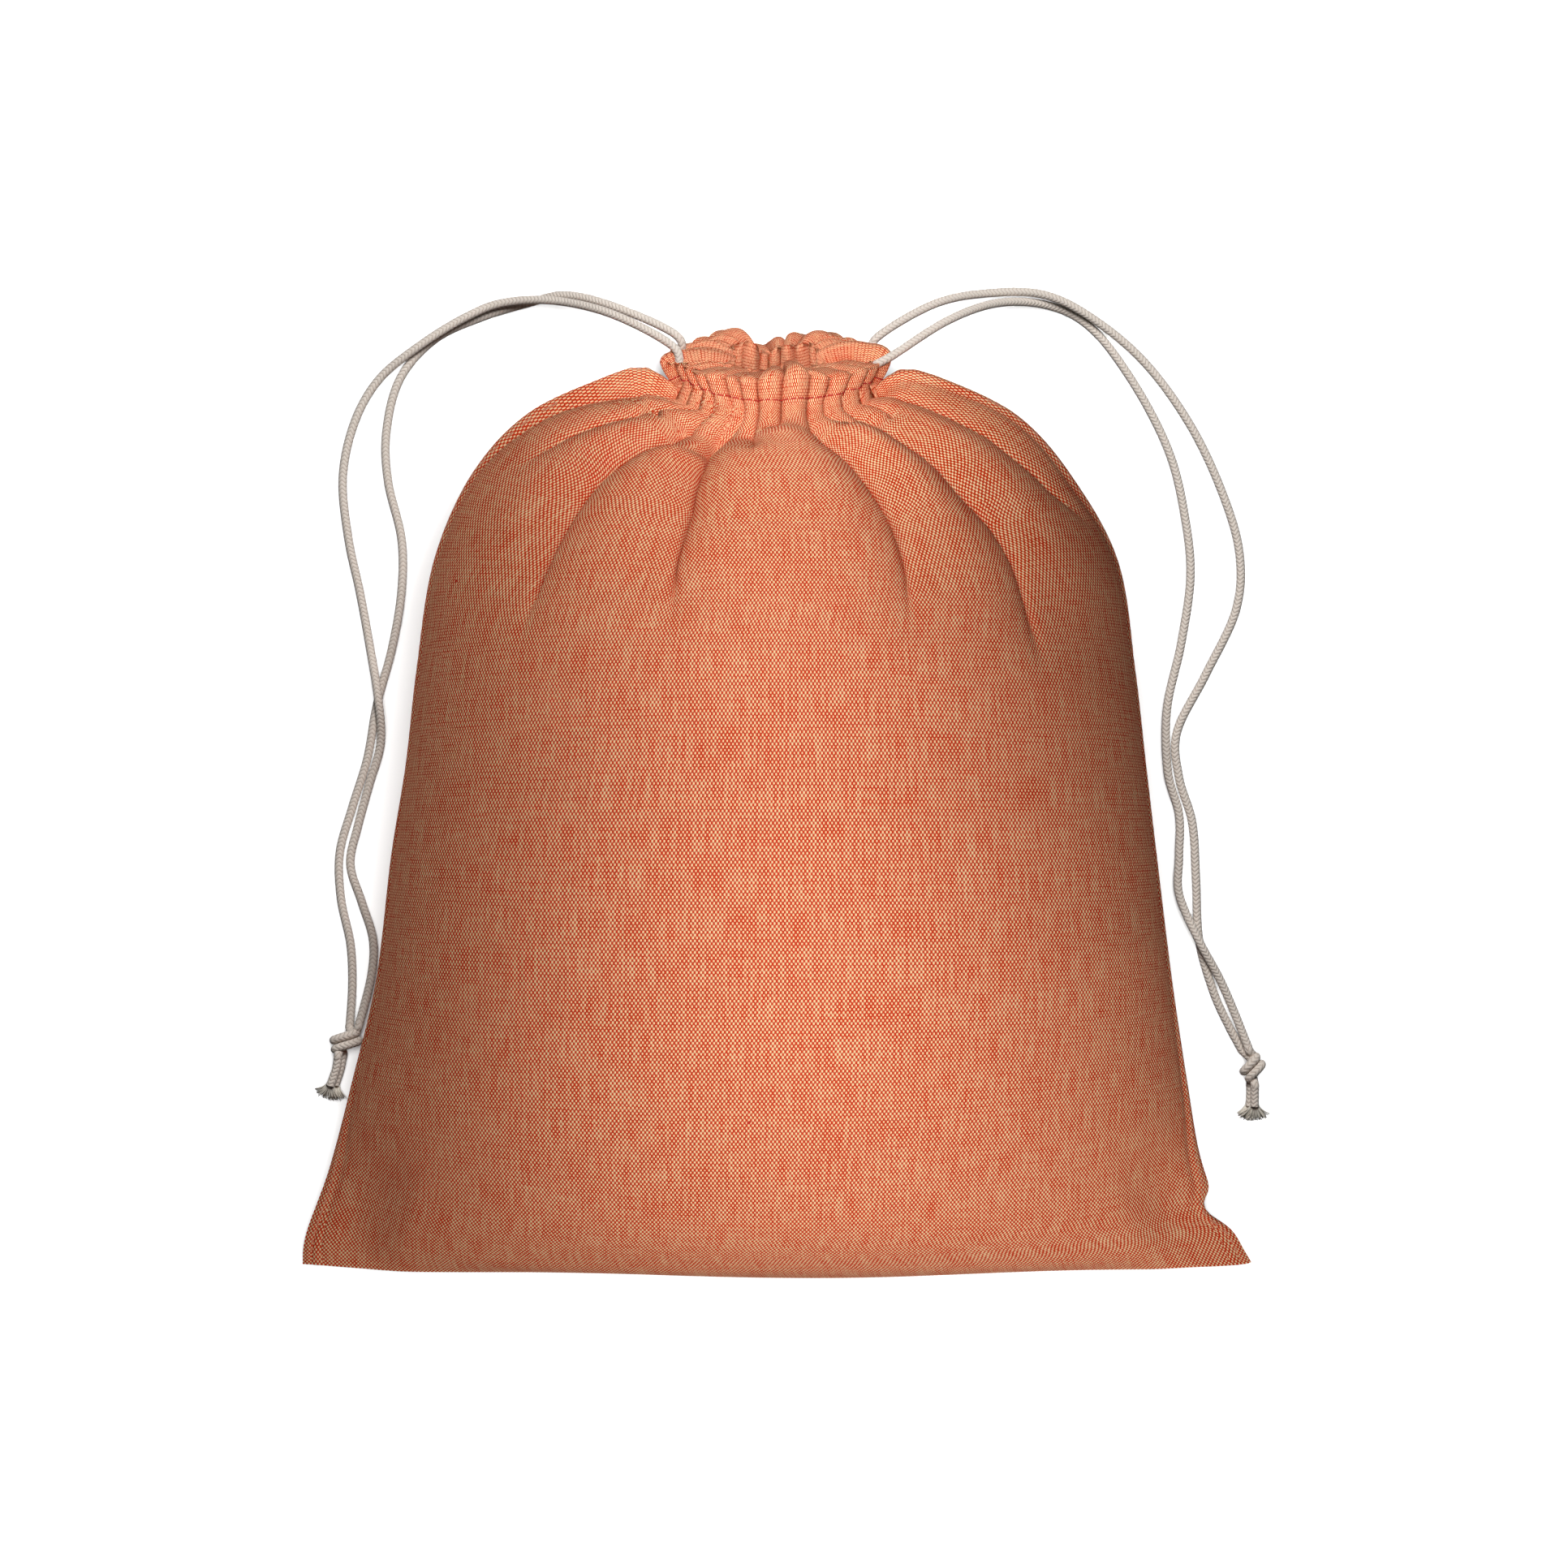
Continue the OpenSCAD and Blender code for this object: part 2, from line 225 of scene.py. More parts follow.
def mix_colour(tree, factor, first, second, blend="MIX"):
    """A mix of two colours. Each is a list of three numbers or another node's output."""
    node = tree.nodes.new("ShaderNodeMix")
    node.data_type = "RGBA"
    node.blend_type = blend
    for socket, value in ((node.inputs[0], factor), (node.inputs[6], first), (node.inputs[7], second)):
        if isinstance(value, (int, float)):
            socket.default_value = value
        elif isinstance(value, (tuple, list)):
            socket.default_value = (*value, 1)
        else:
            tree.links.new(value, socket)
    return node.outputs[2]


def noise(tree, vector, scale, detail=2.0, stretch=(1, 1, 1)):
    """Noise from 0 to 1, stretched along the axes of its vector."""
    mapping = tree.nodes.new("ShaderNodeMapping")
    mapping.inputs["Scale"].default_value = stretch
    tree.links.new(vector, mapping.inputs["Vector"])
    node = tree.nodes.new("ShaderNodeTexNoise")
    node.inputs["Scale"].default_value = scale
    node.inputs["Detail"].default_value = detail
    tree.links.new(mapping.outputs[0], node.inputs["Vector"])
    return node.outputs["Fac"]


def ramp(tree, value, low, high):
    """0 below low, 1 above high and smooth between."""
    node = tree.nodes.new("ShaderNodeMapRange")
    node.interpolation_type = "SMOOTHSTEP"
    node.inputs["From Min"].default_value = low
    node.inputs["From Max"].default_value = high
    tree.links.new(value, node.inputs["Value"])
    return node.outputs[0]


def bump(tree, shader, height, distance, strength=1.0):
    """Fine relief on a shader. distance is how far a height of 1 stands above 0, in metres."""
    node = tree.nodes.new("ShaderNodeBump")
    node.inputs["Strength"].default_value = strength
    node.inputs["Distance"].default_value = distance
    tree.links.new(height, node.inputs["Height"])
    tree.links.new(node.outputs[0], shader.inputs["Normal"])


def floor_material():
    """A pale, slightly uneven tabletop."""
    material, tree, shader = new_material("pale_floor", 0.9)
    place = tree.nodes.new("ShaderNodeTexCoord").outputs["Object"]
    patch = noise(tree, place, 6, 3)
    colour = mix_colour(tree, patch, (0.84, 0.835, 0.83), (0.87, 0.865, 0.86))
    tree.links.new(colour, shader.inputs["Base Color"])
    return material


def cord_material():
    """Round braided cotton cord: off-white, with chevrons of plump grains, and painted shade in the grooves
    between them.
    """
    material, tree, shader = new_material("braided_cord", 0.85)
    uv = tree.nodes.new("ShaderNodeUVMap").outputs[0]
    parts = tree.nodes.new("ShaderNodeSeparateXYZ")
    tree.links.new(uv, parts.inputs[0])
    chevron = math_node(tree, "PINGPONG", math_node(tree, "MULTIPLY", parts.outputs["X"], 3), 0.5)
    along = math_node(tree, "MULTIPLY", parts.outputs["Y"], 1 / BRAID_PITCH)
    phase = math_node(tree, "MULTIPLY_ADD", chevron, -1.6, along)
    wave = math_node(tree, "SINE", math_node(tree, "MULTIPLY", phase, math.pi))
    grain = math_node(tree, "POWER", math_node(tree, "ABSOLUTE", wave), 0.5)
    fibres = noise(tree, uv, 2500, 3, (0.4, 1, 1))
    height = math_node(tree, "MULTIPLY_ADD", fibres, 0.35, grain)
    # Painted shade: the grooves between the grains are painted darker than their crowns.
    colour = mix_colour(tree, ramp(tree, grain, 0.1, 0.85), (0.66, 0.53, 0.43), (0.97, 0.87, 0.78))
    patch = noise(tree, uv, 120, 2)
    colour = mix_colour(tree, ramp(tree, patch, 0.45, 0.85), colour, (0.86, 0.77, 0.64))
    tree.links.new(colour, shader.inputs["Base Color"])
    shader.inputs["Sheen Weight"].default_value = 0.25
    shader.inputs["Sheen Roughness"].default_value = 0.5
    bump(tree, shader, height, 0.25 * MM, 0.8)
    return material


def fibre_material():
    """Loose cotton fibres at the cut ends of the cords, with fine streaks along them."""
    material, tree, shader = new_material("cotton_fibre", 0.9)
    uv = tree.nodes.new("ShaderNodeUVMap").outputs[0]
    streak = noise(tree, uv, 900, 3, (0.02, 1, 1))
    colour = mix_colour(tree, streak, (0.88, 0.80, 0.66), (0.98, 0.94, 0.86))
    tree.links.new(colour, shader.inputs["Base Color"])
    shader.inputs["Sheen Weight"].default_value = 0.3
    bump(tree, shader, streak, 0.05 * MM, 0.5)
    return material


def thread_material(name, dark, light):
    """Twisted sewing thread, with painted shade in the grooves between its plies: dark is the colour in the
    grooves and light the colour on the plies.
    """
    material, tree, shader = new_material(name, 0.7)
    uv = tree.nodes.new("ShaderNodeUVMap").outputs[0]
    parts = tree.nodes.new("ShaderNodeSeparateXYZ")
    tree.links.new(uv, parts.inputs[0])
    turn = math_node(tree, "MULTIPLY", parts.outputs["X"], 2 * math.pi)
    twist = math_node(tree, "MULTIPLY_ADD", parts.outputs["Y"], 2 * math.pi / THREAD_TWIST, turn)
    ply = math_node(tree, "ABSOLUTE", math_node(tree, "SINE", twist))
    # Painted shade: the grooves between the plies take the dark colour and the plies the light one.
    colour = mix_colour(tree, ramp(tree, ply, 0, 0.7), dark, light)
    tree.links.new(colour, shader.inputs["Base Color"])
    bump(tree, shader, ply, 0.08 * MM, 0.6)
    return material


def weave_material():
    """Plain-woven cotton with deep-red warp and cream weft, and slubs in both. The gaps between the thread
    crowns are painted darker, as shade.
    """
    material, tree, shader = new_material("woven_cotton", 0.92)
    uv = tree.nodes.new("ShaderNodeUVMap").outputs[0]
    parts = tree.nodes.new("ShaderNodeSeparateXYZ")
    tree.links.new(uv, parts.inputs[0])
    wander = noise(tree, uv, 900, 2)
    sway = math_node(tree, "MULTIPLY", math_node(tree, "SUBTRACT", wander, 0.5), 0.9)
    warp = math_node(tree, "MULTIPLY_ADD", parts.outputs["X"], math.pi / WARP_PITCH, sway)
    weft = math_node(tree, "MULTIPLY_ADD", parts.outputs["Y"], math.pi / WEFT_PITCH, sway)
    warp_wave = math_node(tree, "SINE", warp)
    weft_wave = math_node(tree, "SINE", weft)
    cross = math_node(tree, "MULTIPLY", warp_wave, weft_wave)
    patch = noise(tree, uv, 60, 4)
    streak = noise(tree, uv, 1300, 3, (1, 0.07, 1))
    slub = noise(tree, uv, 1300, 3, (0.09, 1, 1))
    cover = math_node(tree, "MULTIPLY_ADD", math_node(tree, "SUBTRACT", streak, 0.5), 1.3, cross)
    cover = math_node(tree, "MULTIPLY_ADD", math_node(tree, "SUBTRACT", slub, 0.5), 0.8, cover)
    cover = math_node(tree, "MULTIPLY_ADD", math_node(tree, "SUBTRACT", patch, 0.5), 0.22, cover)
    colour = mix_colour(tree, ramp(tree, cover, -0.42, 0.18), (1.0, 0.71, 0.41), (0.70, 0.044, 0.008))
    nub = ramp(tree, noise(tree, uv, 420, 1), 0.79, 0.82)
    colour = mix_colour(tree, nub, colour, (0.60, 0.02, 0.01))
    # Painted shade: the colour darkens towards the gaps between the thread crowns, where the threads dip.
    crown = math_node(tree, "ABSOLUTE", cross)
    shade = math_node(tree, "MULTIPLY_ADD", ramp(tree, crown, 0.0, 0.5), 0.45, 0.55)
    dark = mix_colour(tree, 1.0, colour, (0.35, 0.06, 0.03), "MULTIPLY")
    colour = mix_colour(tree, shade, dark, colour)
    tree.links.new(colour, shader.inputs["Base Color"])
    shader.inputs["Specular IOR Level"].default_value = 0.08
    height = math_node(tree, "ADD", crown, math_node(tree, "MULTIPLY", slub, 0.5))
    bump(tree, shader, height, 0.12 * MM, 0.45)
    return material


# ---------------------------------------------------------------- cords

def braid_relief(turn, along):
    """The grains of a round braid, in three columns of chevrons round the cord."""
    chevron = np.abs((3 * turn) % 1 - 0.5) * 2
    grain = np.abs(np.sin(math.pi * (along / BRAID_PITCH + 0.8 * chevron)))
    return 0.06 * MM * (np.sqrt(grain) - 0.6)


def braid(path):
    """A braided cord along a path of evenly spaced points."""
    return tube(path, CORD_DIAMETER / 2, 16, braid_relief)


def strand(side, half, pieces, material):
    """A free strand, from the pouch to the drawcord's knot."""
    route = STRANDS[side, half]
    path = evenly_spaced(route, 0.3 * MM)
    piece = tube_piece(f"{side}_cord_{half}_strand_braid", [braid(path)], material)
    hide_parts(f"{side}_cord_{half}_strand")
    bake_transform(piece)


def knot(side, material):
    """A tight overhand knot in both strands: two wraps over the front and their turns behind.

    The front strand makes the outer wraps, and the back strand runs inside them."""
    centre, lean, half_length = KNOTS[side]
    lean = math.radians(lean)
    along = np.array([math.cos(lean), math.sin(lean), 0])
    across = np.array([-math.sin(lean), math.cos(lean), 0])
    angle = np.radians(np.arange(-30, 541, 30))
    tubes = []
    for half, size in (("front", 1.0), ("back", 0.55)):
        wraps = (
            np.multiply.outer(size * half_length * np.cos(angle), along)
            + np.multiply.outer(1.2 - 2.4 * (angle - math.pi / 2) / (2 * math.pi), across)
            + np.multiply.outer(size * 1.45 * np.sin(angle), (0, 0, 1))
        )
        tuck = -0.5 * half_length * along - 1.5 * across - np.array([0, 0, 0.9 * size])
        arriving = STRANDS[side, half]
        leaving = TAILS[side, half]
        route = np.vstack([
            arriving[-1] + 0.1 * (arriving[-2] - arriving[-1]), arriving[-1], MM * (wraps + centre),
            MM * (tuck + centre), leaving[0], leaving[0] + 0.3 * (leaving[1] - leaving[0]),
        ])
        tubes.append(braid(evenly_spaced(route, 0.25 * MM)))
    piece = tube_piece(f"{side}_cord_knot_wraps", tubes, material)
    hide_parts(f"{side}_cord_knot")
    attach(piece, f"{side}_drawcord")
    return piece


def tail(side, half, material):
    """A cut end of cord below the knot."""
    path = evenly_spaced(TAILS[side, half], 0.25 * MM)
    piece = tube_piece(f"{side}_cord_{half}_tail_braid", [braid(path)], material)
    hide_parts(f"{side}_cord_{half}_tail")
    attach(piece, f"{side}_drawcord")
    return piece


def fray(side, material):
    """The unravelled yarns at the ends of both tails, fanned out on the surface."""
    yarns = []
    for half, count in (("front", 90), ("back", 60)):
        route = TAILS[side, half]
        heading = route[-1] - route[-2]
        heading = heading / np.linalg.norm(heading)
        sideways = np.cross(heading, (0, 0, 1))
        for _ in range(count):
            fan = rng.uniform(-1, 1)
            length = rng.uniform(3.6, 4.8) * MM * (1 - 0.3 * fan ** 2)
            t = np.linspace(0, 1, 9)[:, None]
            start = route[-1] - 0.8 * MM * heading + (0.85 * fan + rng.uniform(-0.1, 0.1)) * MM * sideways
            swing = 2.9 * MM * fan * t ** 1.8 + rng.uniform(-0.6, 0.6) * MM * t ** 2.5
            path = start + length * t * heading + swing * sideways
            drop = rng.uniform(0.3, 2.2) * MM
            path[:, 2] = start[2] + (drop - start[2]) * t[:, 0] ** 1.5
            yarns.append(tube(path, np.linspace(0.26, 0.07, 9) * MM, 5))
    piece = tube_piece(f"{side}_cord_fray", yarns, material)
    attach(piece, f"{side}_drawcord")
    return piece


def drawcord(side, cord_mat, fibre_mat):
    """One drawcord's free part: two strands, the knot that joins them and two frayed tails."""
    tails = {half: tail(side, half, cord_mat) for half in ("front", "back")}
    strand(side, "front", [knot(side, cord_mat), tails["front"], fray(side, fibre_mat)], cord_mat)
    strand(side, "back", [tails["back"]], cord_mat)


# ---------------------------------------------------------------- shape of the cloth

# The cloth of one side before it was gathered, hem included.
CLOTH_WIDTH = 0.25
GRID_COLUMNS = 220
BODY_ROWS = 150
HEM_DEPTH = 9.5 * MM
PANEL_END = 10.1 * MM

# Half the width and height of the open mouth, in millimetres.
MOUTH_HALF_W = 10.4
MOUTH_HALF_H = 6.8
# Half the width and height of the waist at the foot of the hem, and how they change up to the
# rim, in millimetres. The sides and the back flare out, and the front leans in.
WAIST_HALF_W = 26.3
FLARE_HALF_W = 4.2
BACK_WAIST_HALF_H = 18.5
FRONT_WAIST_EXTRA = 6
RIM_HALF_H = 22
NECK_LEAN = math.radians(16.5)
RIM_CENTRE = MM * np.array([0.5, 118.3, 28])
RIM_UP = np.array([0, -math.sin(NECK_LEAN), math.cos(NECK_LEAN)])
RIM_OUT = np.array([0, math.cos(NECK_LEAN), math.sin(NECK_LEAN)])


def neck_point(angle, closing, down):
    """A point of the neck at an angle round it and some way down from its rim.

    closing runs from 0 on the outside of the neck to 1 at the edge of the small open mouth."""
    flare = 1 - (down / HEM_DEPTH) ** 2
    waist_half_h = BACK_WAIST_HALF_H + FRONT_WAIST_EXTRA * (math.sin(np.mean(angle)) > 0)
    outer_half_w = WAIST_HALF_W + FLARE_HALF_W * flare
    outer_half_h = waist_half_h + (RIM_HALF_H - waist_half_h) * flare
    half_w = MM * (outer_half_w + (MOUTH_HALF_W - outer_half_w) * closing)
    half_h = MM * (outer_half_h + (MOUTH_HALF_H - outer_half_h) * closing)
    return (
        RIM_CENTRE + np.multiply.outer(half_w * np.cos(angle), (1.0, 0, 0))
        + np.multiply.outer(half_h * np.sin(angle), RIM_UP) - down * RIM_OUT
    )


def with_neck(points, angle):
    """Given stations in millimetres, ended by the point where they meet the neck."""
    return np.vstack([MM * np.array(points), neck_point(math.radians(angle), 0.0, PANEL_END)])


# The side seams and the crowns of the front and back, at the same stations up the pouch.
LEFT_SEAM = with_neck([
    (-124.5, -122, 3), (-123.5, -113.5, 4), (-117, -96, 9), (-111, -74.5, 14),
    (-103.5, -46, 22), (-99, -13.5, 30), (-95, 10, 34), (-92, 35, 36),
    (-87.5, 63, 37), (-77.5, 86, 36), (-64, 101, 33), (-46, 110, 30), (-34, 113.5, 29),
], 180)
RIGHT_SEAM = with_neck([
    (126, -121.5, 3), (121.8, -113.5, 4), (113, -96, 9), (108.5, -74.5, 14),
    (103.5, -46, 22), (99, -13.5, 30), (96, 10, 34), (93, 35, 36),
    (88.5, 63, 37), (76, 86, 36), (62.5, 101, 33), (45, 110, 30), (33.5, 113, 29),
], 0)
FRONT_CROWN = with_neck([
    (0, -124, 12), (0, -121, 26), (0, -108, 45), (0, -80, 67), (0, -48, 81), (0, -14, 88.5),
    (0, 12, 90), (0, 38, 88), (0, 62, 80), (0, 79, 69.5), (0, 90, 60.5), (0, 96, 55.4), (0, 99.3, 52.4),
], 90)
BACK_CROWN = with_neck([
    (0, -124, 12), (0, -121.5, 3), (0, -108, -3), (0, -79, -6), (0, -47, -7), (0, -13, -7),
    (0, 12, -7), (0, 38, -7), (0, 63, -6), (0, 84, -3), (0, 98, 0), (0, 107, 4), (0, 110.5, 6.5),
], 270)
STATIONS = len(LEFT_SEAM) - 1


def smoothstep(value, low, high):
    """0 below low, 1 above high and smooth between."""
    t = np.clip((value - low) / (high - low), 0, 1)
    return t * t * (3 - 2 * t)


def body_surface(front, across, station):
    """Points of the smooth filled pouch. across runs from 0 at the left seam to 1 at the right."""
    s = -np.cos(math.pi * across)
    left = spline(LEFT_SEAM, station)
    right = spline(RIGHT_SEAM, station)
    seam = (left + right + s[..., None] * (right - left)) / 2
    crown = spline(FRONT_CROWN if front else BACK_CROWN, station)
    rise = (1 - np.abs(s) ** 2.5) ** np.maximum(0.6, 1.2 - 0.14 * station)
    # The bottom corners are flat ears, pressed down beside the filled body.
    ear = smoothstep(np.abs(s), 0.78, 0.93) * (1 - smoothstep(station, 1.0, 2.8))
    rise = rise * (1 - 0.7 * ear)
    lifted = seam + rise[..., None] * (crown - seam) * (0, 1, 1)
    lifted[..., 1] += 0.5 * MM * np.sin(19 * across + 1) * (1 - smoothstep(station, 0, 0.8))
    lifted[..., 2] = np.maximum(lifted[..., 2], 0)
    # The right seam is tucked in just above the bottom corner.
    tuck = 4.8 * MM * np.exp(-((lifted[..., 1] + 106.6 * MM) / (4 * MM)) ** 2)
    lifted[..., 0] -= tuck * smoothstep(across, 0.88, 1)
    return lifted


def hem_profile():
    """The hem's line: up its outside, over the rim, across to the mouth and down inside.

    Each row is (closing, down, dome, how deep a fold may be), all but the first in metres. dome is
    how far the row stands out at the back of the neck, which fades to nothing at the front."""
    outside = [(0, d * MM, 0, 5.4 * MM) for d in np.arange(9, 3.5, -1.1)]
    rim = [(0.30 * (1 - math.cos(t)), 3.4 * (1 - math.sin(t)) * MM, 0, 5.4 * MM)
           for t in np.linspace(0.15, math.pi / 2, 6)]
    top = [(c, 5 * (c - 0.3) ** 2 * MM, 2.4 * math.sin(math.pi * (c - 0.3) / 0.8) * MM, (5.4 - c) * MM)
           for c in np.linspace(0.4, 0.94, 9)]
    inside = [(1 - 0.1 * t, (2.6 + 12 * t) * MM, 1.4 * (1 - t) * MM, 4.4 * MM) for t in np.linspace(0, 1, 7)]
    return outside + rim + top + inside


def rim_height(angle):
    """How far the rim stands out round the neck: a little uneven, with two big rounded folds."""
    big_folds = sum(np.exp(9 * (np.cos(angle - place) - 1)) for place in (3.8, 5.6))
    return (0.7 * np.sin(5 * angle + 1) + 0.5 * np.sin(9 * angle + 2) + 2.8 * big_folds) * MM


class Fold:
    """A valley in the cloth that runs down from the neck and fades out."""

    def __init__(self, *knots):
        """Each knot is (across, station, depth and width in millimetres), from the neck down."""
        self.knots = np.array(knots[::-1], float)

    def at(self, station):
        """Where the valley lies at some stations, how deep it is and how wide."""
        across, depth, width = (
            np.interp(station, self.knots[:, 1], self.knots[:, k]) for k in (0, 2, 3)
        )
        fade = smoothstep(station, self.knots[0, 1], self.knots[1, 1])
        return across, depth * MM * fade, width * MM


# The folds of the front, from left to right.
FRONT_FOLDS = [
    Fold((0.07, 13, 8, 1.6), (0.05, 11, 5, 3), (0.04, 9.9, 3, 3.5), (0.03, 8.7, 0, 4)),
    Fold((0.14, 13, 8, 1.4), (0.11, 11.6, 4, 2), (0.10, 10.3, 0, 2)),
    Fold((0.20, 13, 8, 1.4), (0.19, 11, 5, 2.6), (0.17, 9.9, 3, 3), (0.15, 8.8, 0, 4)),
    Fold(
        (0.262, 13, 8.5, 1.5), (0.29, 11.6, 10, 2.3), (0.305, 10.4, 11, 2.6), (0.282, 9.5, 11, 3),
        (0.27, 8.6, 8.5, 3.6), (0.262, 8, 5.5, 4.4), (0.245, 6.8, 0, 6),
    ),
    Fold((0.335, 13, 8.5, 1.3), (0.355, 11.8, 8.5, 2.6), (0.37, 10.8, 6, 3.4), (0.36, 10, 0, 4)),
    Fold(
        (0.385, 13, 8.5, 1.2), (0.392, 11.4, 10, 2.2), (0.408, 10, 11, 2.8), (0.413, 8.9, 10, 3.3),
        (0.405, 8.1, 6, 4), (0.405, 6.8, 0, 6),
    ),
    Fold((0.44, 13, 8, 1.2), (0.455, 11.4, 8, 2.2), (0.47, 10.7, 5, 3), (0.475, 9.8, 0, 3.5)),
    Fold((0.52, 13, 8.5, 1.3), (0.515, 12, 5, 2.2), (0.515, 11.2, 0, 3)),
    Fold(
        (0.61, 13, 8.5, 1.4), (0.60, 11.6, 10, 2.3), (0.605, 10.6, 11.5, 2.8), (0.62, 9.6, 11.5, 3.2),
        (0.628, 8.8, 9.5, 3.6), (0.625, 8.1, 6, 4.2), (0.622, 6.8, 0, 6),
    ),
    Fold((0.675, 13, 8.5, 1.3), (0.69, 11.8, 5, 2.2), (0.70, 10.9, 0, 2.5)),
    Fold(
        (0.755, 13, 8.5, 1.5), (0.75, 11.6, 10, 2.4), (0.725, 10.3, 11, 2.8), (0.735, 9.1, 10.5, 3.2),
        (0.75, 8.5, 9, 3.7), (0.755, 7.8, 6, 4.4), (0.762, 6.6, 0, 6),
    ),
    Fold((0.84, 13, 8, 1.4), (0.82, 11.8, 5, 2.2), (0.79, 10.5, 0, 2.5)),
    Fold(
        (0.925, 13, 8, 1.6), (0.885, 11.4, 6, 2.6), (0.86, 10.4, 5, 3), (0.863, 9.6, 4.5, 3.2),
        (0.888, 8.9, 3.5, 3.5), (0.92, 8.2, 0, 4),
    ),
]


def back_folds():
    """The folds of the back: uneven pleats at the neck, and every third one runs further down."""
    count = 12
    folds = []
    for k in range(count):
        across = (k + 0.5 + rng.uniform(-0.25, 0.25)) / count
        lower = across + 0.25 * (across - 0.5) + rng.uniform(-0.01, 0.01)
        end = (8.6, 10.6, 9.8)[k % 3]
        folds.append(Fold(
            (across, STATIONS, 8.5, 1.4), ((across + lower) / 2, (STATIONS + end) / 2, 6, 2.6),
            (lower, end, 0, 4),
        ))
    return folds


# About how deep the folds are at the neck, before they are fitted to what a row allows.
NECK_FOLD_DEPTH = 8.5 * MM
# Rows shorter than this have their folds narrowed to fit.
CROWDED_ROW = 0.066


def gathered(surface, normal, folds, station, deepest):
    """One row of the cloth across the pouch, with its folds pressed in.

    surface and normal are dense points along the row of the smooth shape. The result has the
    grid's columns, spaced evenly along the folded cloth."""
    step = np.linalg.norm(np.diff(surface, axis=0), axis=1)
    reach = np.concatenate([[0], np.cumsum(step)])
    dense_across = np.linspace(0, 1, len(surface))
    place = np.linspace(0, reach[-1], 1600)
    crowding = min(1.0, reach[-1] / CROWDED_ROW)
    depth = np.zeros_like(place)
    shift = np.zeros_like(place)
    for fold in folds:
        across, fold_depth, width = fold.at(station)
        width = width * crowding
        fold_depth = fold_depth * min(1.25, deepest / NECK_FOLD_DEPTH)
        offset = (place - np.interp(across, dense_across, reach)) / width
        # The cloth is rounded on both sides of a fold and meets in a sharp crease.
        crease = np.exp(-1.5 * np.abs(offset) ** 1.15)
        depth += fold_depth * (0.75 * crease + 0.35 * np.exp(-(offset / 2.2) ** 2))
        closed = 0.95 * fold_depth / (fold_depth + 2 * MM)
        shift -= closed * width * offset * np.exp(-offset ** 2 / 2)
        # The cloth on the outer side of a fold laps over it, towards the middle of the pouch.
        outer = 1 if across > 0.5 else -1
        shift -= outer * 0.55 * closed * width * np.exp(-((outer * offset - 0.9) / 0.7) ** 2)
    depth = np.minimum(depth, deepest)
    edge = np.minimum(place, reach[-1] - place)
    depth *= smoothstep(edge, 0, 3 * MM)
    depth += 0.5 * MM * np.exp(-((edge / MM - 3.6) / 1.1) ** 2)
    depth -= 0.4 * MM * np.exp(-((edge / MM - 1.4) / 0.9) ** 2)
    shift *= smoothstep(edge, 0, 6 * MM)
    moved = np.stack([np.interp(place + shift, reach, surface[:, k]) for k in range(3)], axis=1)
    facing = np.stack([np.interp(place + shift, reach, normal[:, k]) for k in range(3)], axis=1)
    row = moved - depth[:, None] * facing
    length = np.concatenate([[0], np.cumsum(np.linalg.norm(np.diff(row, axis=0), axis=1))])
    columns = COLUMN_PLACES * length[-1]
    return np.stack([np.interp(columns, length, row[:, k]) for k in range(3)], axis=1)


def column_places():
    """Where the grid's columns stand from 0 to 1, closer together beside the side seams."""
    t = np.linspace(0, 1, 2001)
    edge = np.minimum(t, 1 - t)
    crowd = np.cumsum(1 + 2 * np.exp(-(edge / 0.025) ** 2))
    return np.interp(np.linspace(crowd[0], crowd[-1], GRID_COLUMNS + 1), crowd, t)


COLUMN_PLACES = column_places()
# The column that runs along the side stitching, 2 mm from the edge.
SEAM_COLUMN = int(np.argmin(abs(COLUMN_PLACES * CLOTH_WIDTH - 2 * MM)))


def unit_normals(grid):
    """Directions square to a grid of points."""
    normal = np.cross(np.gradient(grid, axis=1), np.gradient(grid, axis=0))
    return normal / np.maximum(np.linalg.norm(normal, axis=2), 1e-12)[..., None]


# Points along the middle of a side, from which its evenly spaced rows are found.
MIDDLE_POINTS = 1201
# How deep a fold may be on the body and where the body meets the neck, in millimetres.
BODY_FOLD_LIMIT = 14
WAIST_FOLD_LIMIT = 5.6


def smooth_grid(front, across):
    """The pouch's smooth shape, row by row from the bottom edge to inside the mouth.

    Also returns each row's station and how deep a fold may be there."""
    up_middle = np.linspace(0, STATIONS, MIDDLE_POINTS)
    middle = body_surface(front, np.full(MIDDLE_POINTS, 0.5), up_middle)
    reach = np.concatenate([[0], np.cumsum(np.linalg.norm(np.diff(middle, axis=0), axis=1))])
    even = np.linspace(0, reach[-1], BODY_ROWS + 1)
    stations = np.interp(even, reach, up_middle)
    body = body_surface(front, across + 0 * stations[:, None], stations[:, None] + 0 * across)
    deepest = np.interp(stations, (STATIONS - 2, STATIONS), (BODY_FOLD_LIMIT, WAIST_FOLD_LIMIT)) * MM
    angle = math.pi * (1 - across) if front else math.pi * (1 + across)
    hem = hem_profile()
    behind = (1 - np.sin(angle)) / 2
    uneven = rim_height(angle)
    rings = np.array([
        neck_point(angle, closing, down)
        + np.multiply.outer(dome * behind + max(0, 1 - down / (9 * MM)) * uneven, RIM_OUT)
        for closing, down, dome, _ in hem
    ])
    return (
        np.concatenate([body, rings]),
        np.concatenate([stations, np.full(len(hem), STATIONS)]),
        np.concatenate([deepest, [limit for *_, limit in hem]]),
    )


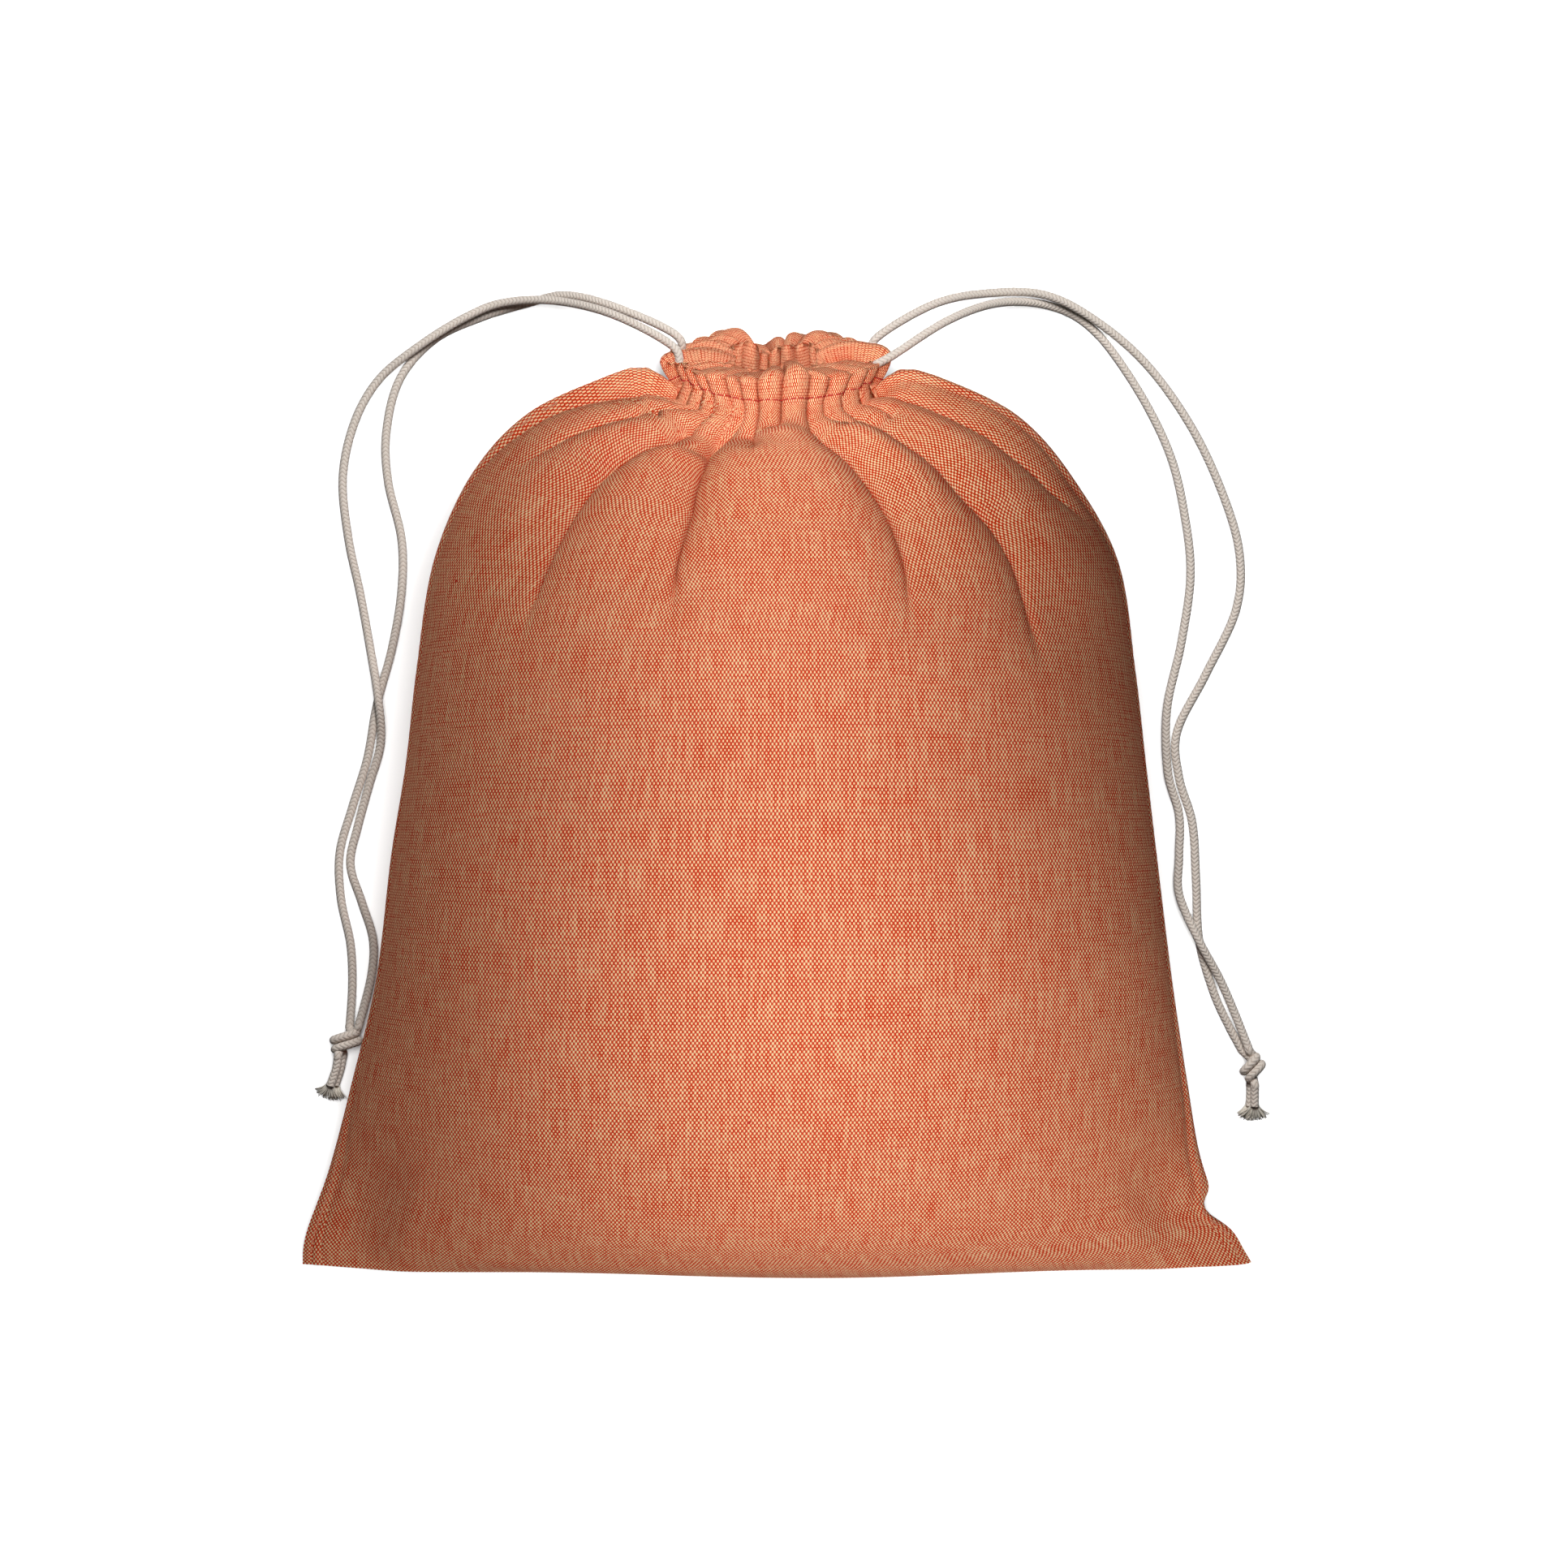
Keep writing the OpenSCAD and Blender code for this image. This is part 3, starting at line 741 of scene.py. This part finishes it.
def cloth_grid(front):
    """The grid of points of one side, from the bottom edge to the inside of the mouth.

    Also returns how far up the cloth each row lies."""
    folds = FRONT_FOLDS if front else back_folds()
    smooth, stations, deepest = smooth_grid(front, np.linspace(0, 1, 401))
    outward = unit_normals(smooth) * (1 if front else -1)
    grid = np.array([
        gathered(*row, folds, station, limit)
        for *row, station, limit in zip(smooth, outward, stations, deepest)
    ])
    span = np.linalg.norm(np.diff(grid, axis=0), axis=2).mean(axis=1)
    return grid, np.concatenate([[0], np.cumsum(span)])


def cloth_mesh(name, grid, up, material, outward):
    """A mesh from a grid of points, with the flat cloth's own width and length as its UVs."""
    rows, columns = grid.shape[:2]
    uv_grid = np.stack(np.meshgrid(COLUMN_PLACES * CLOTH_WIDTH, up), axis=2)
    faces = []
    corners = []
    for j in range(rows - 1):
        for i in range(columns - 1):
            ring = [(j, i), (j, i + 1), (j + 1, i + 1), (j + 1, i)]
            if not outward:
                ring = ring[::-1]
            faces.append(tuple(r * columns + c for r, c in ring))
            corners += [uv_grid[r, c] for r, c in ring]
    return new_mesh(name, grid.reshape(-1, 3), faces, np.array(corners), [material])


def follow_lip(piece, front):
    """The back's pieces stay on the pouch. The front's pieces keep their place, with their transforms baked
    in."""
    if not front:
        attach(piece, "pouch")
        return
    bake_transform(piece)


def stitches(name, node, lines, front, material):
    """A row of stitches, each along its own short line of points on the cloth."""
    piece = tube_piece(name, [tube(line, THREAD_DIAMETER / 2, 6) for line in lines], material)
    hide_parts(node)
    follow_lip(piece, front)


def hem_stitches(half, grid, normal, material):
    """The row that closes the channel, which dips into every pleat."""
    row = BODY_ROWS + 2
    line = grid[row] + 0.12 * MM * normal[row]
    lines = [line[i:i + 3] for i in range(3, GRID_COLUMNS - 4, 3)]
    stitches(f"{half}_hem_thread", f"{half}_hem_stitches", lines, half == "front", material)


def side_stitches(side, grid, normal, material):
    """The row that holds a side seam, sunk in the cloth beside the edge."""
    column = SEAM_COLUMN if side == "left" else GRID_COLUMNS - SEAM_COLUMN
    line = grid[:BODY_ROWS - 4, column] - 0.05 * MM * normal[:BODY_ROWS - 4, column]
    lines = [line[j:j + 2] for j in range(4, len(line) - 2, 2)]
    stitches(f"{side}_seam_thread", f"{side}_seam_stitches", lines, True, material)


def seam_strip(side, material):
    """The overlocked allowance inside a side seam, a narrow doubled strip that waves a little."""
    seam = LEFT_SEAM if side == "left" else RIGHT_SEAM
    inward = 1 if side == "left" else -1
    edge = evenly_spaced(spline(seam, np.arange(2.5, 9.6, 0.25)), 1.5 * MM)
    wave = 0.25 * MM * np.sin(np.arange(len(edge)) * 0.9)
    near, far, half_thick = 0.6, 6.8, 0.4
    rings = []
    for depth, height in ((near, -half_thick), (far, -half_thick), (far, half_thick), (near, half_thick)):
        ring = edge + (inward * depth * MM, 0, height * MM)
        ring[:, 2] += wave * (depth == far)
        rings.append(ring)
    verts = np.stack(rings, axis=1).reshape(-1, 3)
    faces = [
        (4 * k + i, 4 * k + (i + 1) % 4, 4 * k + 4 + (i + 1) % 4, 4 * k + 4 + i)
        for k in range(len(edge) - 1) for i in range(4)
    ]
    uvs = [(verts[v][0], verts[v][1]) for face in faces for v in face]
    piece = new_mesh(f"{side}_seam_strip", verts, faces, uvs, [material])
    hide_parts(f"{side}_side_seam")
    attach(piece, "pouch")


def cloth(half, weave, red_thread, seam_thread):
    """One side of the pouch with its hem, and the stitching on it."""
    front = half == "front"
    grid, up = cloth_grid(front)
    piece = cloth_mesh(f"{half}_cloth", grid, up, weave, front)
    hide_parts(f"{half}_panel", f"{half}_channel")
    follow_lip(piece, front)
    normal = unit_normals(grid) * (1 if front else -1)
    hem_stitches(half, grid, normal, red_thread)
    if front:
        side_stitches("left", grid, normal, seam_thread)
        side_stitches("right", grid, normal, seam_thread)


# About half the width and height of the hem where the cords run, and how far inside it they lie,
# in millimetres. That is deep enough to clear the folds.
HEM_HALF_W = 29
HEM_HALF_H = 21.5
RUN_INSET = 6.8
# How far down from the rim each side's cord runs.
RUN_DOWN = {"left": 6.6 * MM, "right": 9 * MM}


def channel_run(side, half, material):
    """A cord's hidden stretch through the hem."""
    front = half == "front"
    angle = np.radians(np.linspace(16, 164, 40) + (0 if front else 180))
    half_w = (HEM_HALF_W - RUN_INSET) * MM
    half_h = (HEM_HALF_H - RUN_INSET) * MM
    path = (
        RIM_CENTRE + np.multiply.outer(half_w * np.cos(angle), (1.0, 0, 0))
        + np.multiply.outer(half_h * np.sin(angle), RIM_UP) - RUN_DOWN[side] * RIM_OUT
    )
    run = tube_piece(f"{side}_cord_{half}_run_braid", [braid(path)], material)
    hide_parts(f"{side}_cord_{half}_run")
    follow_lip(run, front)


# ---------------------------------------------------------------- stage

def floor():
    """A pale tabletop. It doesn't throw light back on the pouch, so the sides stay dark."""
    size = 3.0
    verts = [(-size, -size, 0), (size, -size, 0), (size, size, 0), (-size, size, 0)]
    plane = new_mesh("floor", verts, [(0, 1, 2, 3)], None, [floor_material()])
    plane.visible_diffuse = False
    return plane


def camera():
    """Straight down from 1.6 m above the surface the pouch lies on."""
    data = bpy.data.cameras.new("camera")
    data.lens = 138.9
    data.sensor_width = 36
    data.clip_start = 0.01
    obj = bpy.data.objects.new("camera", data)
    obj.location = (0.0026, 0.0052, 1.6)
    bpy.context.scene.collection.objects.link(obj)
    bpy.context.scene.camera = obj


def area_light(name, place, target, size, power, spread=180):
    """A rectangular lamp, size being its width and length, that points at a target.

    spread is the angle in degrees that its light fans out to."""
    data = bpy.data.lights.new(name, "AREA")
    data.shape = "RECTANGLE"
    data.size, data.size_y = size
    data.energy = power
    data.spread = math.radians(spread)
    obj = bpy.data.objects.new(name, data)
    obj.location = place
    obj.rotation_euler = (Vector(target) - Vector(place)).to_track_quat("-Z", "Y").to_euler()
    obj.visible_camera = False
    bpy.context.scene.collection.objects.link(obj)
    return obj


def lights():
    """A row of narrow strips above the pouch, which leaves its sides dark, with a softbox behind the
    neck, two near the lower end, and fills from the left and from below it."""
    bpy.context.scene.view_settings.view_transform = "Standard"
    # The weave is about as fine as a pixel, and filtering the denoiser's guides would smear it.
    bpy.context.scene.cycles.denoising_prefilter = "NONE"
    for x, y, power in ((0.015, -0.17, 0.012), (0.005, -0.06, 0.024), (0, 0.05, 0.027), (0, 0.16, 0.075)):
        area_light("strip", (x, y, 0.45), (x, y, 0), (0.02, 0.11), power, spread=34)
    area_light("back_softbox", (-0.2, 0.58, 0.5), (0, 0, 0), (0.3, 0.3), 0.92)
    area_light("bottom_softbox", (0.03, -0.24, 0.3), (0.02, -0.08, 0), (0.08, 0.1), 0.33)
    area_light("corner_softbox", (0.35, -0.4, 0.25), (0, -0.05, 0.05), (0.2, 0.2), 0.72)
    area_light("left_fill", (-0.6, 0, 0.12), (0, 0, 0.03), (0.3, 0.3), 0.52)
    area_light("front_fill", (0, -0.7, 0.4), (0, 0, 0.03), (0.3, 0.3), 0.12)
    world = bpy.data.worlds.new("world")
    world.use_nodes = True
    world.node_tree.nodes["Background"].inputs["Color"].default_value = (1, 1, 1, 1)
    world.node_tree.nodes["Background"].inputs["Strength"].default_value = 0.02
    bpy.context.scene.world = world


def light_only(lamps, pieces):
    """These lamps light these pieces alone."""
    lit = bpy.data.collections.new(f"lit_by_{lamps[0].name}")
    for piece in pieces:
        lit.objects.link(piece)
    for lamp in lamps:
        lamp.light_linking.receiver_collection = lit


camera()
lights()
studio_lamps = [o for o in bpy.data.objects if o.type == "LIGHT"]
cord_lamp = area_light("cord_lamp", (0.03, 0.38, 0.6), (0, 0, 0), (0.3, 0.3), 4.2)
tabletop = floor()
tabletop_lamp = area_light("tabletop_lamp", (0.1, 0.2, 2.2), (0, 0, 0), (1.5, 1.5), 85)
weave = weave_material()
red_thread = thread_material("red_thread", (0.30, 0.012, 0.008), (0.68, 0.05, 0.03))
seam_thread = thread_material("seam_thread", (0.5, 0.10, 0.05), (0.8, 0.34, 0.2))
cord_mat = cord_material()
fibre_mat = fibre_material()
cloth("front", weave, red_thread, seam_thread)
cloth("back", weave, red_thread, seam_thread)
for side in ("left", "right"):
    seam_strip(side, weave)
    drawcord(side, cord_mat, fibre_mat)
    for half in ("front", "back"):
        channel_run(side, half, cord_mat)
shown = [o for o in bpy.data.objects if o.type == "MESH" and not o.hide_render]
cords = [piece for piece in shown if "_cord_" in piece.name]
# The cords have a lamp of their own, as the studio lamps would burn them out. The studio lamps
# light everything else, and the tabletop has one more lamp that keeps it white.
light_only([tabletop_lamp], [tabletop])
light_only([cord_lamp], cords)
light_only(studio_lamps, [piece for piece in shown if piece not in cords])
